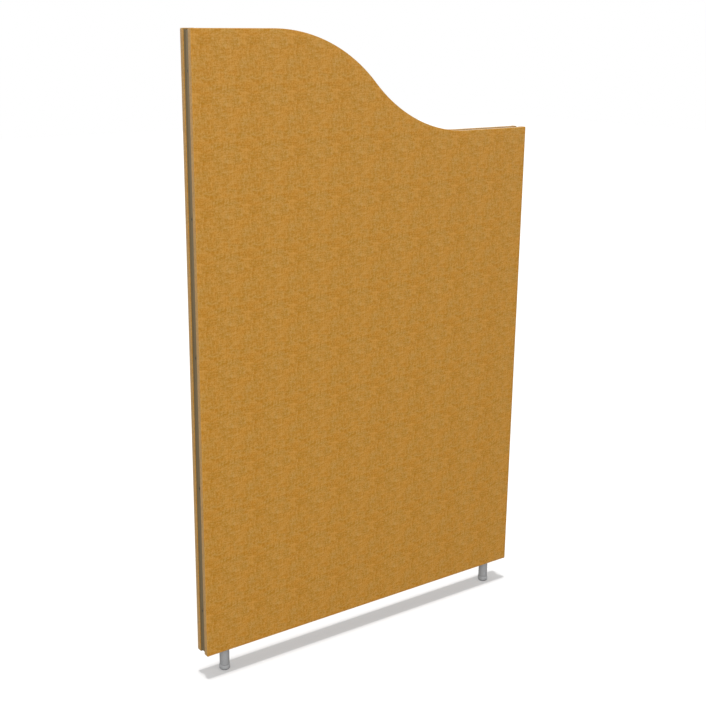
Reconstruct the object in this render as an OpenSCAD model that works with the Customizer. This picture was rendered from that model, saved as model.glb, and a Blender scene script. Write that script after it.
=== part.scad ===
// Free-standing acoustic partition screen with a wave top.
// Two fabric-covered fibre boards stand on the two sides of a narrower core frame.
// The shallow groove that is left between them, all round the edge, is lined with a
// U-profile. The panel stands on two tube posts with levelling feet.
// X runs along the width, Y through the thickness, and Z is up. The origin is on the
// floor, under the middle of the panel. The front faces -Y, and the low side is at +X.

/* [Panel] */
// Width of the panel
panel_w = 1000; // [800:10:1400]
// Height of the panel on its high side, without the feet
panel_h = 1500; // [1200:10:1900]
// Thickness over both fabric covers
panel_t = 50; // [42:1:60]
// How far the top edge falls from the high side to the low side
wave_drop = 250; // [150:10:400]
// Radius of the two bends that make the wave
wave_r = 400; // [250:10:450]
// Radius of the panel's corners, seen from the front
corner_r = 2; // [2:0.5:8]

/* [Boards and fabric] */
// Thickness of the fabric
fabric_t = 1; // [0.6:0.1:1.5]
// Radius of the arris between a cover's face and its edge
arris_r = 2; // [2:0.5:6]
// How far the fabric is turned in behind its board
turn_in = 40; // [25:5:60]

/* [Core frame] */
// Thickness of the frame, which is also the width of the groove
frame_t = 20; // [16:1:24]
// Width of the two stiles
stile_w = 45; // [38:1:70]
// Height of the bottom rail
bottom_rail_h = 70; // [60:5:100]
// Height of the cross rail
cross_rail_h = 45; // [38:1:70]
// Height of the cross rail's middle above the panel's lower edge
cross_rail_z = 640; // [400:10:800]
// Width of the wave rail, square to the top edge
wave_rail_w = 60; // [45:5:90]
// Diameter of the dowels in the frame's joints
dowel_d = 8; // [6:1:10]
// Length of the dowels
dowel_l = 40; // [30:5:50]
// Distance between the two dowels of a joint
dowel_pitch = 22; // [18:1:26]

/* [Edge groove] */
// Depth of the groove from the boards' edges to the channel's web
groove_d = 3.5; // [3:0.5:16]
// Wall of the channel
channel_wall = 1.2; // [0.8:0.1:1.6]
// How far the channel's flanges stay back from the boards' edges
flange_back = 1; // [0.5:0.5:2]
// Diameter of the channel screws
screw_d = 3; // [2.5:0.5:4]
// Length of the channel screws under the head
screw_l = 16; // [12:1:25]
// Diameter of the screws' heads
screw_head_d = 6; // [5:0.5:8]
// Height of the screws' countersunk heads
screw_head_h = 1.8; // [1.2:0.1:2.5]

/* [Feet] */
// Height of the panel's lower edge above the floor
foot_h = 62; // [50:1:120]
// Distance from each end of the panel to the axis of its foot
foot_inset = 62; // [50:1:160]
// Outer diameter of the post
post_d = 25; // [20:1:28]
// Wall of the post
post_wall = 1.5; // [1:0.1:2.5]
// Diameter of the turning collar
collar_d = 27; // [23:0.5:32]
// Height of the turning collar
collar_h = 7.6; // [5:0.1:10]
// Number of finger flutes round the collar
collar_flutes = 18; // [8:1:24]
// Diameter of the foot pad
pad_d = 27; // [23:0.5:36]
// Height of the pad, without its sole
pad_h = 4; // [3.5:0.1:6]
// Thickness of the non-slip sole
sole_h = 1; // [0.8:0.1:2]
// Diameter of the levelling spindle and of the stud
spindle_d = 8; // [6:1:10]
// How far the spindle stands above the collar
spindle_reach = 27; // [22:1:30]
// Length of the bush at the lower end of the post
bush_l = 18; // [12:1:20]
// Height of the plug inside the upper end of the post
plug_h = 12; // [8:1:14]
// Length of the stud that joins the post to the bottom rail
stud_l = 40; // [36:1:56]
// Length of the threaded insert in the bottom rail
insert_l = 25; // [20:1:35]
// Wall of the threaded insert
insert_wall = 2; // [1.5:0.1:2.5]

/* [Hidden] */
// Clearance between a cover and what it lies against
wrap_gap = 0.2;
// Clearance between the channel's flanges and the covers
channel_gap = 0.3;
// Clearance round an infill slab
infill_gap = 0.3;
// Radial clearance of a round fit
run_gap = 0.05;
// Gap between pieces of the foot that turn or rest on each other
rest_gap = 0.2;
// Room round a stud or a spigot where it passes through the channel
pass_gap = 0.5;
// Chamfer of the feet's turned edges
turned_edge = 0.5;
// Facets of the bends, of a corner and of the arris in the covers and boards
bend_steps = 12;
corner_steps = 4;
arris_steps = 4;

// The panel's edges and the wave's two bends
left_x = -panel_w / 2;
right_x = panel_w / 2;
low_z = foot_h;
hi_top = foot_h + panel_h;
lo_top = hi_top - wave_drop;
wave_a = acos(1 - wave_drop / (2 * wave_r));
wave_half = wave_r * sin(wave_a);
crest = [-wave_half, hi_top - wave_r];
dip = [wave_half, lo_top + wave_r];

// The frame stands behind the channel's web
frame_in = groove_d + channel_wall;
channel_w = frame_t - 2 * channel_gap;
stile_in = frame_in + stile_w;
stile_edge = panel_w / 2 - stile_in;
bottom_rail_top = low_z + frame_in + bottom_rail_h;
cross_mid = low_z + cross_rail_z;
cross_low = cross_mid - cross_rail_h / 2;
cross_top = cross_mid + cross_rail_h / 2;
field_in = frame_in + wave_rail_w;

// Depths from a cover's face to the layers behind it
frame_depth = (panel_t - frame_t) / 2;
lip_back = frame_depth - wrap_gap;
lip_front = lip_back - fabric_t;
board_in = fabric_t + wrap_gap;
board_back = lip_front - wrap_gap;

// Heights in a foot, from the floor up
foot_x = panel_w / 2 - foot_inset;
pad_top = sole_h + pad_h;
collar_low = pad_top + rest_gap;
collar_top = collar_low + collar_h;
post_low = collar_top + rest_gap;
post_top = foot_h - rest_gap;
web_z = low_z + groove_d;
rail_low = low_z + frame_in;
bore_r = spindle_d / 2 + run_gap;
post_bore_r = post_d / 2 - post_wall;
spigot_r = channel_w / 2 - channel_wall - pass_gap;
insert_r = spindle_d / 2 + insert_wall;
rivet_r = spindle_d / 2 + 1.8;
rivet_h = 0.8;
pocket_h = rivet_h + 2 * rest_gap;
sole_r = pad_d / 2 - 1.5;
pad_edge = 1.2;
flute_r = 1.4;
flute_d = 0.5;
stud_low = post_top - plug_h + 1;
insert_bore_l = max(insert_l, stud_low + stud_l - rail_low) + 2;

// Where the channel screws stand, as x, z and the turn of the outward normal about Y
screw_end = 90;
bend_clear = 20;
side_screw_low = bottom_rail_top + dowel_l;
function spread(a, b, n) = [for (i = [0:n - 1]) a + (b - a) * i / (n - 1)];
left_screws = [for (z = spread(side_screw_low, hi_top - screw_end, 5))
    [left_x + groove_d, z, -90]];
right_screws = [for (z = spread(side_screw_low, lo_top - screw_end, 4))
    [right_x - groove_d, z, 90]];
bottom_screws = [for (x = spread(left_x + 2 * screw_end, right_x - 2 * screw_end, 3))
    [x, low_z + groove_d, 180]];
high_screws = [for (x = spread(left_x + screw_end, -wave_half - bend_clear, 2))
    [x, hi_top - groove_d, 0]];
low_screws = [for (x = spread(wave_half + bend_clear, right_x - screw_end, 2))
    [x, lo_top - groove_d, 0]];
wave_screws = [
    screw_on(crest, wave_r - groove_d, wave_a / 3),
    screw_on(crest, wave_r - groove_d, wave_a),
    screw_on(dip, -wave_r - groove_d, wave_a / 3)
];
// A screw on a bend, at an angle from the bend's level end
function screw_on(centre, r, a) = [centre.x + r * sin(a), centre.y + r * cos(a), a];

// Profiles of the panel, drawn in X and Z

// Everything below the wave line, set in from it by e, as wide as needed
module under_wave(e) {
    wide = 2 * panel_w;
    span = 2 * wave_r;
    turn = [sin(wave_a), cos(wave_a)];
    mid = crest + (wave_r - e) * turn;
    difference() {
        union() {
            polygon([
                [-wide, -wide], [wide, -wide], [wide, lo_top - e], [wave_half, lo_top - e],
                mid, [-wave_half, hi_top - e], [-wide, hi_top - e]
            ]);
            intersection() {
                translate(crest) circle(r = wave_r - e, $fn = 360);
                polygon([crest, crest + [0, span], crest + span * (turn + [0, 1]),
                    crest + span * turn]);
            }
        }
        intersection() {
            translate(dip) circle(r = wave_r + e, $fn = 360);
            polygon([dip, dip - [0, span], dip - span * (turn + [0, 1]), dip - span * turn]);
        }
    }
}

// The panel's outline, set in by e
module outline(e) {
    intersection() {
        under_wave(e);
        translate([left_x + e, low_z + e]) square([panel_w - 2 * e, panel_h]);
    }
}

// The band between two insets of the outline
module band(outer, inner) {
    difference() {
        outline(outer);
        outline(inner);
    }
}

// A flat piece of thickness t, cut to a profile and centred in the panel
module slab(t) {
    rotate([90, 0, 0]) linear_extrude(t, center = true) children();
}

// An upright rectangle in the panel's plane
module field(x0, x1, z0, z1) {
    translate([x0, z0]) square([x1 - x0, z1 - z0]);
}

// Lofted boards and covers

function arc(centre, r, a0, a1, n) =
    [for (i = [0:n]) let (a = a0 + (a1 - a0) * i / n) centre + r * [cos(a), sin(a)]];

// Points of the outline set in by e, with rounded corners, counter-clockwise from the front.
// Each point of the wave has a partner below it, so that a face splits into upright strips.
function outline_points(e) =
    let (
        k = e + corner_r,
        falling = arc(dip, wave_r + e, 270, 270 - wave_a, bend_steps),
        rising = arc(crest, wave_r - e, 90 - wave_a, 90, bend_steps),
        wave = concat(falling, [for (i = [1:bend_steps]) rising[i]])
    ) concat(
        arc([left_x + k, low_z + k], corner_r, 180, 270, corner_steps),
        [for (p = backwards(wave)) [p.x, low_z + e]],
        arc([right_x - k, low_z + k], corner_r, 270, 360, corner_steps),
        arc([right_x - k, lo_top - k], corner_r, 0, 90, corner_steps),
        wave,
        arc([left_x + k, hi_top - k], corner_r, 90, 180, corner_steps)
    );

// Insets and depths round an arris of radius r, for a skin at inset e
function arris(e, r) =
    [for (i = [0:arris_steps]) let (a = 90 * i / arris_steps)
        [e + r * (1 - sin(a)), e + r * (1 - cos(a))]];

function backwards(list) = [for (i = [len(list) - 1:-1:0]) list[i]];

// A closed solid through rings of [inset, depth behind the front face]
module loft(rings) {
    n = len(outline_points(0));
    last = (len(rings) - 1) * n;
    points = [for (ring = rings, p = outline_points(ring[0]))
        [p.x, ring[1] - panel_t / 2, p.y]];
    walls = [for (a = [0:n:last - n], j = [0:n - 1]) let (k = (j + 1) % n, b = a + n)
        each [[a + j, a + k, b + k], [a + j, b + k, b + j]]];
    strips = [for (i = [0:n / 2 - 2]) let (top = n - 1 - i)
        each [[i, i + 1, top - 1], [i, top - 1, top]]];
    front = [for (t = strips) backwards(t)];
    back = [for (t = strips) [for (i = t) last + i]];
    polyhedron(points, concat(front, walls, back), convexity = 6);
}

// A pressed fibre board with eased arrises
module board() {
    color("burlywood")
        loft(concat(arris(board_in, arris_r - board_in), [[board_in, board_back]]));
}

// The fabric on one board: its face, its edge, and the strip turned in behind
module cover() {
    color("peru") loft(concat(
        arris(0, arris_r),
        [[0, lip_back], [turn_in, lip_back], [turn_in, lip_front], [fabric_t, lip_front]],
        backwards(arris(fabric_t, arris_r - fabric_t))
    ));
}

module to_back() { mirror([0, 1, 0]) children(); }

module front_board() board();
module back_board() to_back() board();
module front_cover() cover();
module back_cover() to_back() cover();

// Core frame

// Puts its child on each screw's axis, with +Z along the outward normal
module at_screws(places) {
    for (p = places) translate([p.x, 0, p.y]) rotate([0, p.z, 0]) children();
}

// A countersunk screw whose head lies flush at height 0, as rows of radius and height,
// made wider by a gap and longer at its tip
function screw_rows(gap, tip) = [
    [0, -screw_l - tip], [screw_d / 2 + gap, -screw_l - tip],
    [screw_d / 2 + gap, -screw_head_h], [screw_head_d / 2 + gap, 0], [0, 0]
];

module pilot_bores(places) {
    at_screws(places) {
        turned(screw_rows(run_gap, 1), 32);
        cylinder(r = screw_head_d / 2 + run_gap, h = 1, $fn = 32);
    }
}

// The dowels of one joint: their middle, and the turn of their axis about Y
dowel_joints = [
    for (s = [-1, 1]) [s * (stile_edge + stile_w / 2), bottom_rail_top, 0],
    for (s = [-1, 1]) [s * stile_edge, cross_mid, 90],
    [-stile_edge, hi_top - frame_in - wave_rail_w / 2, 90],
    [stile_edge, lo_top - frame_in - wave_rail_w / 2, 90]
];

module dowels(extra_r, extra_l) {
    for (j = dowel_joints, s = [-1, 1])
        translate([j.x, 0, j.y]) rotate([0, j.z, 0]) translate([s * dowel_pitch / 2, 0, 0])
            cylinder(r = dowel_d / 2 + extra_r, h = dowel_l + extra_l, center = true, $fn = 32);
}

module dowel_bores() { dowels(run_gap, 1); }

module timber() { color("wheat") children(); }

module stile(side, top, screws) {
    timber() difference() {
        slab(frame_t) scale([side, 1])
            field(stile_edge, panel_w / 2 - frame_in, bottom_rail_top, top - frame_in);
        dowel_bores();
        pilot_bores(screws);
    }
}

module left_stile() stile(-1, hi_top, left_screws);
module right_stile() stile(1, lo_top, right_screws);

// The bottom rail runs under both stiles and holds the inserts for the feet
module bottom_rail() {
    timber() difference() {
        slab(frame_t)
            field(left_x + frame_in, right_x - frame_in, low_z + frame_in, bottom_rail_top);
        dowel_bores();
        pilot_bores(bottom_screws);
        at_feet() translate([0, 0, rail_low - 1])
            cylinder(r = insert_r + run_gap, h = insert_bore_l, $fn = 48);
    }
}

module cross_rail() {
    timber() difference() {
        slab(frame_t) field(-stile_edge, stile_edge, cross_low, cross_top);
        dowel_bores();
    }
}

// The wave rail follows the top edge from stile to stile
module wave_rail() {
    timber() difference() {
        slab(frame_t) intersection() {
            difference() {
                under_wave(frame_in);
                under_wave(field_in);
            }
            field(-stile_edge, stile_edge, low_z, hi_top);
        }
        dowel_bores();
        pilot_bores(concat(high_screws, wave_screws, low_screws));
    }
}

module frame_dowels() { color("tan") dowels(0, 0); }

// Absorber slabs in the frame's two fields

module infill() { color("gray") slab(frame_t) children(); }

module lower_infill() {
    infill() field(-stile_edge + infill_gap, stile_edge - infill_gap,
        bottom_rail_top + infill_gap, cross_low - infill_gap);
}

module upper_infill() {
    infill() intersection() {
        under_wave(field_in + infill_gap);
        field(-stile_edge + infill_gap, stile_edge - infill_gap,
            cross_top + infill_gap, hi_top);
    }
}

// Edge channel, in mitred lengths

// One length of the channel: the part of the band that lies in its share of the panel
module channel(share, screws) {
    color("dimgray") difference() {
        union() {
            slab(channel_w) intersection() {
                band(groove_d, frame_in);
                polygon(share);
            }
            for (side = [-1, 1]) translate([0, side * (channel_w - channel_wall) / 2, 0])
                slab(channel_wall) intersection() {
                    band(flange_back, frame_in);
                    polygon(share);
                }
        }
        pilot_bores(screws);
        children();
    }
}

mitre = 2 * frame_in;

module left_channel() channel([
    [left_x, low_z], [left_x + mitre, low_z + mitre],
    [left_x + mitre, hi_top - mitre], [left_x, hi_top]
], left_screws);

module right_channel() channel([
    [right_x, low_z], [right_x, lo_top],
    [right_x - mitre, lo_top - mitre], [right_x - mitre, low_z + mitre]
], right_screws);

// The bottom length is drilled for the studs of the feet
module bottom_channel() channel([
    [left_x, low_z], [right_x, low_z],
    [right_x - mitre, low_z + mitre], [left_x + mitre, low_z + mitre]
], bottom_screws) {
    at_feet() translate([0, 0, low_z]) cylinder(r = bore_r + pass_gap, h = mitre, $fn = 48);
}

module high_channel() channel([
    [left_x, hi_top], [left_x + mitre, hi_top - mitre],
    [-wave_half, hi_top - mitre], [-wave_half, hi_top]
], high_screws);

module wave_channel() channel([
    [-wave_half, lo_top - mitre], [wave_half, lo_top - mitre],
    [wave_half, hi_top], [-wave_half, hi_top]
], wave_screws);

module low_channel() channel([
    [right_x, lo_top], [wave_half, lo_top],
    [wave_half, lo_top - mitre], [right_x - mitre, lo_top - mitre]
], low_screws);

module channel_screws() {
    color("silver")
        at_screws(concat(left_screws, right_screws, bottom_screws,
            high_screws, wave_screws, low_screws))
            turned(screw_rows(0, 0), 32);
}

// Feet

module at_foot(side) { translate([side * foot_x, 0, 0]) children(); }

module at_feet() { for (side = [-1, 1]) at_foot(side) children(); }

// A turned or drilled round part, as rows of radius and height
module turned(rows, sides = 64) { rotate_extrude($fn = sides) polygon(rows); }

module insert() {
    color("goldenrod") turned([
        [bore_r, rail_low], [insert_r, rail_low],
        [insert_r, rail_low + insert_l], [bore_r, rail_low + insert_l]
    ]);
}

module stud() {
    color("silver") translate([0, 0, stud_low]) cylinder(r = spindle_d / 2, h = stud_l, $fn = 48);
}

// The plug fills the top of the post, and its spigot stands on the channel's web
module plug() {
    plug_r = post_bore_r - run_gap;
    color("silver") turned([
        [bore_r, post_top - plug_h], [plug_r, post_top - plug_h], [plug_r, post_top],
        [spigot_r, post_top], [spigot_r, web_z - rest_gap], [bore_r, web_z - rest_gap]
    ]);
}

module post() {
    color("lightgray") turned([
        [post_bore_r, post_low], [post_d / 2 - turned_edge, post_low],
        [post_d / 2, post_low + turned_edge], [post_d / 2, post_top], [post_bore_r, post_top]
    ]);
}

module bush() {
    bush_r = post_bore_r - run_gap;
    color("silver") turned([
        [bore_r, post_low], [bush_r, post_low],
        [bush_r, post_low + bush_l], [bore_r, post_low + bush_l]
    ]);
}

// The spindle with its fluted collar, and the rivet head that keeps the pad on
module spindle() {
    shaft_r = spindle_d / 2;
    collar_r = collar_d / 2;
    rivet_low = sole_h + rest_gap;
    color("gainsboro") difference() {
        turned([
            [0, rivet_low], [rivet_r, rivet_low], [rivet_r, rivet_low + rivet_h],
            [shaft_r, rivet_low + rivet_h], [shaft_r, collar_low],
            [collar_r - turned_edge, collar_low], [collar_r, collar_low + turned_edge],
            [collar_r, collar_top - turned_edge], [collar_r - turned_edge, collar_top],
            [shaft_r, collar_top], [shaft_r, collar_top + spindle_reach - 2 * turned_edge],
            [shaft_r - 2 * turned_edge, collar_top + spindle_reach],
            [0, collar_top + spindle_reach]
        ]);
        for (i = [0:collar_flutes - 1])
            rotate([0, 0, 360 * i / collar_flutes])
                translate([collar_r + flute_r - flute_d, 0, collar_low - 1])
                    cylinder(r = flute_r, h = collar_h + 2, $fn = 24);
    }
}

module pad() {
    pad_r = pad_d / 2;
    color("gainsboro") turned([
        [rivet_r + 2 * run_gap, sole_h], [sole_r, sole_h], [pad_r, sole_h + pad_edge],
        [pad_r, pad_top - turned_edge], [pad_r - turned_edge, pad_top], [bore_r, pad_top],
        [bore_r, sole_h + pocket_h], [rivet_r + 2 * run_gap, sole_h + pocket_h]
    ]);
}

module sole() { color("dimgray") cylinder(r = sole_r, h = sole_h, $fn = 64); }

module left_insert() at_foot(-1) insert();
module right_insert() at_foot(1) insert();
module left_stud() at_foot(-1) stud();
module right_stud() at_foot(1) stud();
module left_plug() at_foot(-1) plug();
module right_plug() at_foot(1) plug();
module left_post() at_foot(-1) post();
module right_post() at_foot(1) post();
module left_bush() at_foot(-1) bush();
module right_bush() at_foot(1) bush();
module left_spindle() at_foot(-1) spindle();
module right_spindle() at_foot(1) spindle();
module left_pad() at_foot(-1) pad();
module right_pad() at_foot(1) pad();
module left_sole() at_foot(-1) sole();
module right_sole() at_foot(1) sole();

front_board();
back_board();
front_cover();
back_cover();
left_stile();
right_stile();
bottom_rail();
cross_rail();
wave_rail();
frame_dowels();
lower_infill();
upper_infill();
left_channel();
right_channel();
bottom_channel();
high_channel();
wave_channel();
low_channel();
channel_screws();
left_insert();
right_insert();
left_stud();
right_stud();
left_plug();
right_plug();
left_post();
right_post();
left_bush();
right_bush();
left_spindle();
right_spindle();
left_pad();
right_pad();
left_sole();
right_sole();
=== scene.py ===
# %% [markdown]
# # An acoustic partition screen, dressed for a studio picture
#
# The object is a free-standing screen for an office or a classroom. Two fibre boards, each
# wrapped in woven cloth, stand on the two sides of a timber frame that is a little smaller. The
# shallow groove that this leaves runs round all the edges and is lined with an aluminium
# channel. Two short steel posts with levelling feet carry the screen.
#
# The construction is already there as solids. This file adds what a picture needs: the cloth as
# real cloth, the small metal parts with their rounded edges and threads, a material for every
# piece, the light and the camera. The cells can be read, and run, from top to bottom.

import math

import bpy
import numpy
from mathutils import Matrix, Vector, noise


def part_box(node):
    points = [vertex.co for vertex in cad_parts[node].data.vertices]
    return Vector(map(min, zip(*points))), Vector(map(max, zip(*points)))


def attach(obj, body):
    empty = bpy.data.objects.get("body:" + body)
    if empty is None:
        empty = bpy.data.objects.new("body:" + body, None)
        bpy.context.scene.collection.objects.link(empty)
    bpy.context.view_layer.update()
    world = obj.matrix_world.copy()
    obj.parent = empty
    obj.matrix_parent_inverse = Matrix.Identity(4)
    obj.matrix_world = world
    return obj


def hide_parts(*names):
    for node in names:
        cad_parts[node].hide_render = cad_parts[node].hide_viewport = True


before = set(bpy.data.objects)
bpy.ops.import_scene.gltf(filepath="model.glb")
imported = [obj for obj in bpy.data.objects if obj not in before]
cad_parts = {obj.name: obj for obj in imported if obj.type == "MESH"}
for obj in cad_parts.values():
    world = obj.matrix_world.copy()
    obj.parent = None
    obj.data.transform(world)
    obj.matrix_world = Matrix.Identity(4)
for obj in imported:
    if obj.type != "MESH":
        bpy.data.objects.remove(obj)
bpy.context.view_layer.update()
scene = bpy.context.scene

# %% [markdown]
# ## Sizes
#
# Everything is in metres, in the frame of the solids: X along the width, Y through the
# thickness with the front towards -Y, Z up, and the origin on the floor. A size that the solids
# already have is read from their boxes, so that it is written down only once. Lengths that
# belong to the cloth or to a screw are given here in millimetres, through `MM`.

# %% Read the main sizes from the solids
MM = 0.001
panel_low, panel_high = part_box("front_cover")
left, right = panel_low.x, panel_high.x
bottom, high_top = panel_low.z, panel_high.z
front, lip_back = panel_low.y, panel_high.y
flange_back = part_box("left_channel")[0].x - left
low_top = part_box("low_channel")[1].z + flange_back
wave_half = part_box("wave_channel")[1].x
print("panel width and height:", round(right - left, 4), round(high_top - bottom, 4))
print("top edge falls by", round(high_top - low_top, 4), "within", round(2 * wave_half, 4))

# %% [markdown]
# ### The wave
#
# The top edge falls in an S made of two arcs that touch each other in the middle. For two equal
# arcs of radius r, each turning through an angle a, the half width is r sin a and the whole fall
# is 2 r (1 - cos a). Dividing one by the other leaves tan(a / 2), which gives both unknowns.

# %% Work out the two arcs
fall = high_top - low_top
wave_turn = 2 * math.atan2(fall, 2 * wave_half)
wave_radius = wave_half / math.sin(wave_turn)
print("arc radius", round(wave_radius, 4), "turn", round(math.degrees(wave_turn), 2), "degrees")

# %% [markdown]
# ## Camera
#
# The camera stands to the left of the screen, at the height of its top edge, and looks down a
# little. A lens of about 59 mm on a 36 mm sensor gives the mild perspective of a product
# picture. The small sideways shift moves the frame without turning the camera.

# %% Place the camera
SENSOR_WIDTH, LENS = 36.0, 58.63
SHIFT_X, SHIFT_Y = 0.0594, -0.0009
CAMERA_PLACE = (-1.7175, -2.2729, 1.5483)
CAMERA_TURN, CAMERA_TILT = math.radians(34.195), math.radians(15.453)
camera_data = bpy.data.cameras.new("camera")
camera_data.sensor_width, camera_data.lens = SENSOR_WIDTH, LENS
camera_data.shift_x, camera_data.shift_y = SHIFT_X, SHIFT_Y
camera = bpy.data.objects.new("camera", camera_data)
scene.collection.objects.link(camera)
camera.location = CAMERA_PLACE
camera.rotation_euler = (math.pi / 2 - CAMERA_TILT, 0.0, -CAMERA_TURN)
scene.camera = camera
print("camera stands", round(camera.location.length, 2), "m from the origin")

# %% [markdown]
# ## A short way to write nodes
#
# Shader nodes are easy to build in code once two things are short to say: "add this node, with
# these inputs" and "link that socket". `add` does both. An input that is given as a socket is
# linked, and anything else is set as its value.

# %% Helpers for shader nodes
def add(tree, kind, inputs=None, **options):
    """Adds a node, sets its options, and links or sets its inputs by name or number."""
    node = tree.nodes.new(kind)
    for name, value in options.items():
        setattr(node, name, value)
    for name, value in (inputs or {}).items():
        if isinstance(value, bpy.types.NodeSocket):
            tree.links.new(value, node.inputs[name])
        else:
            node.inputs[name].default_value = value
    return node


def maths(tree, operation, a, b=0.0, c=0.0):
    """The result of one Math node."""
    return add(tree, "ShaderNodeMath", {0: a, 1: b, 2: c}, operation=operation).outputs[0]


def mixed(tree, factor, a, b, blend="MIX"):
    """The colour of one Mix node between colours a and b."""
    return add(tree, "ShaderNodeMix", {0: factor, 6: a, 7: b}, data_type="RGBA",
               blend_type=blend).outputs[2]


# %% [markdown]
# ## Floor, background and light
#
# The picture is a studio shot on white. White that comes from more light would also burn out
# the object, so the world is white only to the rays that come from the camera, from a glossy
# surface or through glass, and it lights the object at a plain level. The floor works in the
# same way: it has a little light of its own for the camera's rays, just enough to lift its lit
# part to white, while the strip under the screen stays grey.
#
# Glossy surfaces see the floor darker than it is. Everything here is seen from above, so they
# would mirror a white floor at their lower ends, and the cloth would lose its deep colour there.
#
# When a foot is screwed out, its pad moves down while the screen keeps its place. The floor has
# to give way, or it would hide the pad. It therefore rides on the left pad and points at a spot
# under the right one, so it lies level under equal feet and slopes when only one is screwed out.

# %% Helper for kinds of rays
def rays(tree, *kinds):
    """1 for rays of one of the given kinds, and 0 for all others."""
    paths = add(tree, "ShaderNodeLightPath")
    total = paths.outputs["Is " + kinds[0] + " Ray"]
    for kind in kinds[1:]:
        total = maths(tree, "MAXIMUM", total, paths.outputs["Is " + kind + " Ray"])
    return total


# %% World
WORLD_LIGHT = 0.62
world = bpy.data.worlds.new("studio")
world.use_nodes = True
scene.world = world
tree = world.node_tree
tree.nodes.clear()
daylight = add(tree, "ShaderNodeBackground", {"Color": (1, 1, 1, 1), "Strength": WORLD_LIGHT})
white = add(tree, "ShaderNodeBackground", {"Color": (1, 1, 1, 1), "Strength": 1.0})
either = add(tree, "ShaderNodeMixShader", {0: rays(tree, "Camera", "Glossy", "Transmission")})
tree.links.new(daylight.outputs[0], either.inputs[1])
tree.links.new(white.outputs[0], either.inputs[2])
add(tree, "ShaderNodeOutputWorld", {"Surface": either.outputs[0]})
scene.view_settings.view_transform = "Standard"
print("world gives", WORLD_LIGHT, "as light and 1 as background")

# %% Floor
FLOOR_SIDE, FLOOR_GREY, FLOOR_DARK, FLOOR_LIFT = 30.0, 0.66, 0.06, 0.24
floor_mesh = bpy.data.meshes.new("floor")
half = FLOOR_SIDE / 2
floor_mesh.from_pydata([(-half, -half, 0), (half, -half, 0), (half, half, 0), (-half, half, 0)],
                       [], [(0, 1, 2, 3)])
floor = bpy.data.objects.new("floor", floor_mesh)
scene.collection.objects.link(floor)
floor_material = bpy.data.materials.new("floor paper")
floor_material.use_nodes = True
tree = floor_material.node_tree
tree.nodes.clear()
grey = mixed(tree, rays(tree, "Glossy"), (FLOOR_GREY, FLOOR_GREY, FLOOR_GREY, 1),
             (FLOOR_DARK, FLOOR_DARK, FLOOR_DARK, 1))
paper = add(tree, "ShaderNodeBsdfDiffuse", {"Color": grey})
lift = add(tree, "ShaderNodeEmission", {"Strength": FLOOR_LIFT})
lifted = add(tree, "ShaderNodeAddShader", {0: paper.outputs[0], 1: lift.outputs[0]})
shown = add(tree, "ShaderNodeMixShader", {0: rays(tree, "Camera")})
tree.links.new(paper.outputs[0], shown.inputs[1])
tree.links.new(lifted.outputs[0], shown.inputs[2])
add(tree, "ShaderNodeOutputMaterial", {"Surface": shown.outputs[0]})
floor_mesh.materials.append(floor_material)


def middle_under(node):
    """The point on the floor under the middle of a node."""
    low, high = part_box(node)
    return Vector(((low.x + high.x) / 2, (low.y + high.y) / 2, 0.0))


floor.location = middle_under("left_sole")
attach(floor, "left_foot_pad")
right_spot = bpy.data.objects.new("floor_under_right_pad", None)
scene.collection.objects.link(right_spot)
right_spot.location = middle_under("right_sole")
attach(right_spot, "right_foot_pad")
slope = floor.constraints.new("DAMPED_TRACK")
slope.target, slope.track_axis = right_spot, "TRACK_X"
print("floor of", FLOOR_SIDE, "m under the pads at", round(floor.location.x, 3), "and",
      round(right_spot.location.x, 3))

# %% [markdown]
# ### Lamps
#
# A narrow sun shines straight down. It draws the strip of shadow under the panel, which is as
# long and as wide as the panel itself, and it brightens the edges that face up. The key light is
# a large disc behind the camera's left shoulder, high up and nine metres away. It reaches the
# front and the left side, and falls off a little towards the lower right. It leaves the floor
# out, where it would spread a wide second shadow.

# %% Lamps
KEY_PLACE, KEY_WATTS, KEY_ACROSS = (-4.8, -6.3, 5.0), 470, 6.0
SUN_STRENGTH, SUN_ANGLE = 2.4, math.radians(1.4)
not_the_floor = bpy.data.collections.new("lit by the key light")
not_the_floor.objects.link(floor)
not_the_floor.collection_objects[0].light_linking.link_state = "EXCLUDE"


def lamp_towards(name, kind, place, target, energy):
    """A lamp at a place, turned towards a point. A sun only takes its direction from the two."""
    data = bpy.data.lights.new(name, kind)
    data.energy = energy
    lamp = bpy.data.objects.new(name, data)
    scene.collection.objects.link(lamp)
    lamp.location = place
    lamp.rotation_euler = (Vector(target) - Vector(place)).to_track_quat("-Z", "Y").to_euler()
    return lamp


panel_middle = (0.0, 0.0, (bottom + high_top) / 2)
key = lamp_towards("key", "AREA", KEY_PLACE, panel_middle, KEY_WATTS)
key.data.shape, key.data.size = "DISK", KEY_ACROSS
key.light_linking.receiver_collection = not_the_floor
key.visible_camera = False
overhead = lamp_towards("overhead", "SUN", (0, 0, 4), (0, 0, 0), SUN_STRENGTH)
overhead.data.angle = SUN_ANGLE

# %% [markdown]
# ## Mesh helpers
#
# Most pieces here are grids: rows of points that are joined into quads. A cover's face is such a
# grid, and so is a turned part or a screw's thread, which is closed round its axis. One function
# joins the rows, and another makes the object, gives it its material and lets it ride on its
# body.

# %% Helpers for meshes
def grid_faces(rows, columns, closed=False):
    """Quads between rows of points that were numbered row by row."""
    last = columns if closed else columns - 1
    return [(r * columns + c, r * columns + (c + 1) % columns,
             (r + 1) * columns + (c + 1) % columns, (r + 1) * columns + c)
            for r in range(rows - 1) for c in range(last)]


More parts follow.
